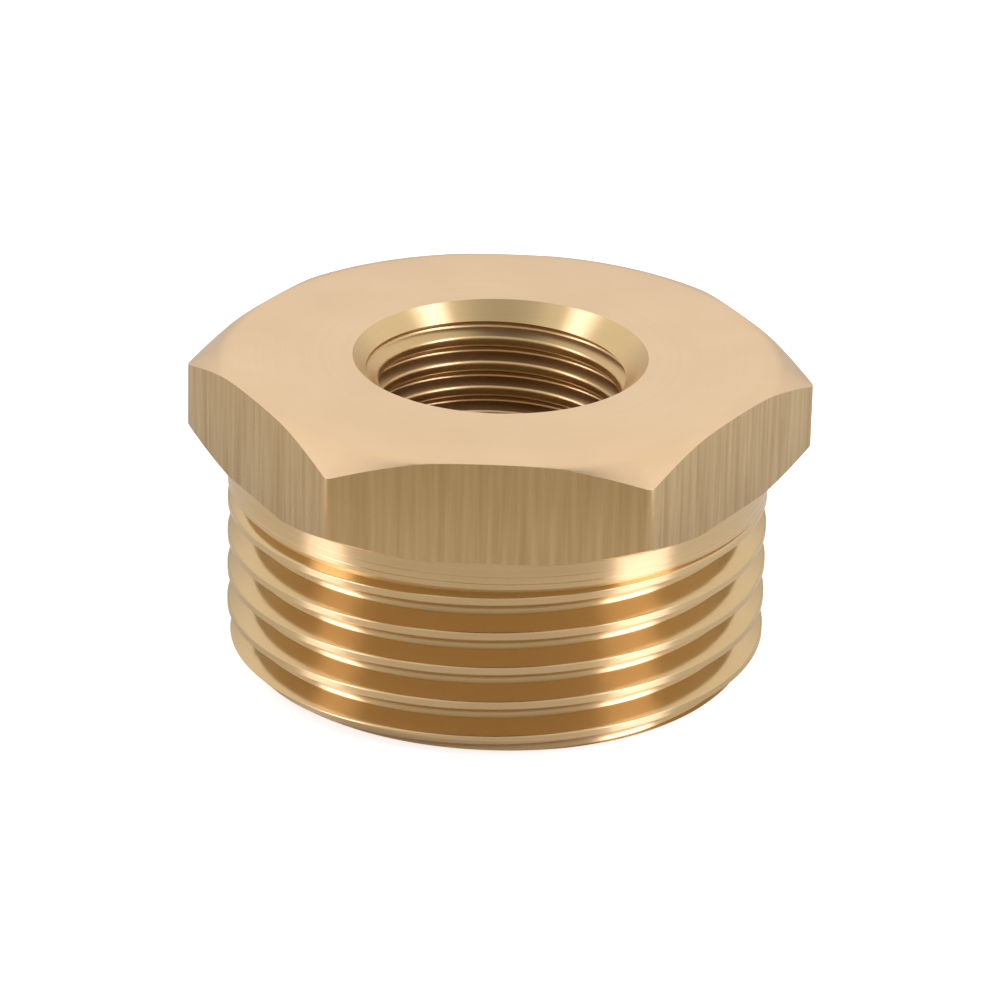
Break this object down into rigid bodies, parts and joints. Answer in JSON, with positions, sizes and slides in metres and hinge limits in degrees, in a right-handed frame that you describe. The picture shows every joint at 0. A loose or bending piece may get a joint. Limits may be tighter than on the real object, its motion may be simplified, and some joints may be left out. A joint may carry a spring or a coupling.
{
  "type": "hex bushing",
  "caption": "Brass hex reducing bushing: a male pipe thread under a low hex head, with a smaller female pipe thread right through it.",
  "frame": {"origin": "middle of the lower end face of the male thread", "axes": "+Z runs along the bushing from the male thread to the hex head, X through two corners of the hex, Y square to two of its flats"},
  "size_m": [0.0306, 0.0264, 0.0154],
  "materials": {
    "brass": "machined"
  },
  "bodies": {
    "root": {"hex_bushing": "brass"}
  },
  "joints": []
}
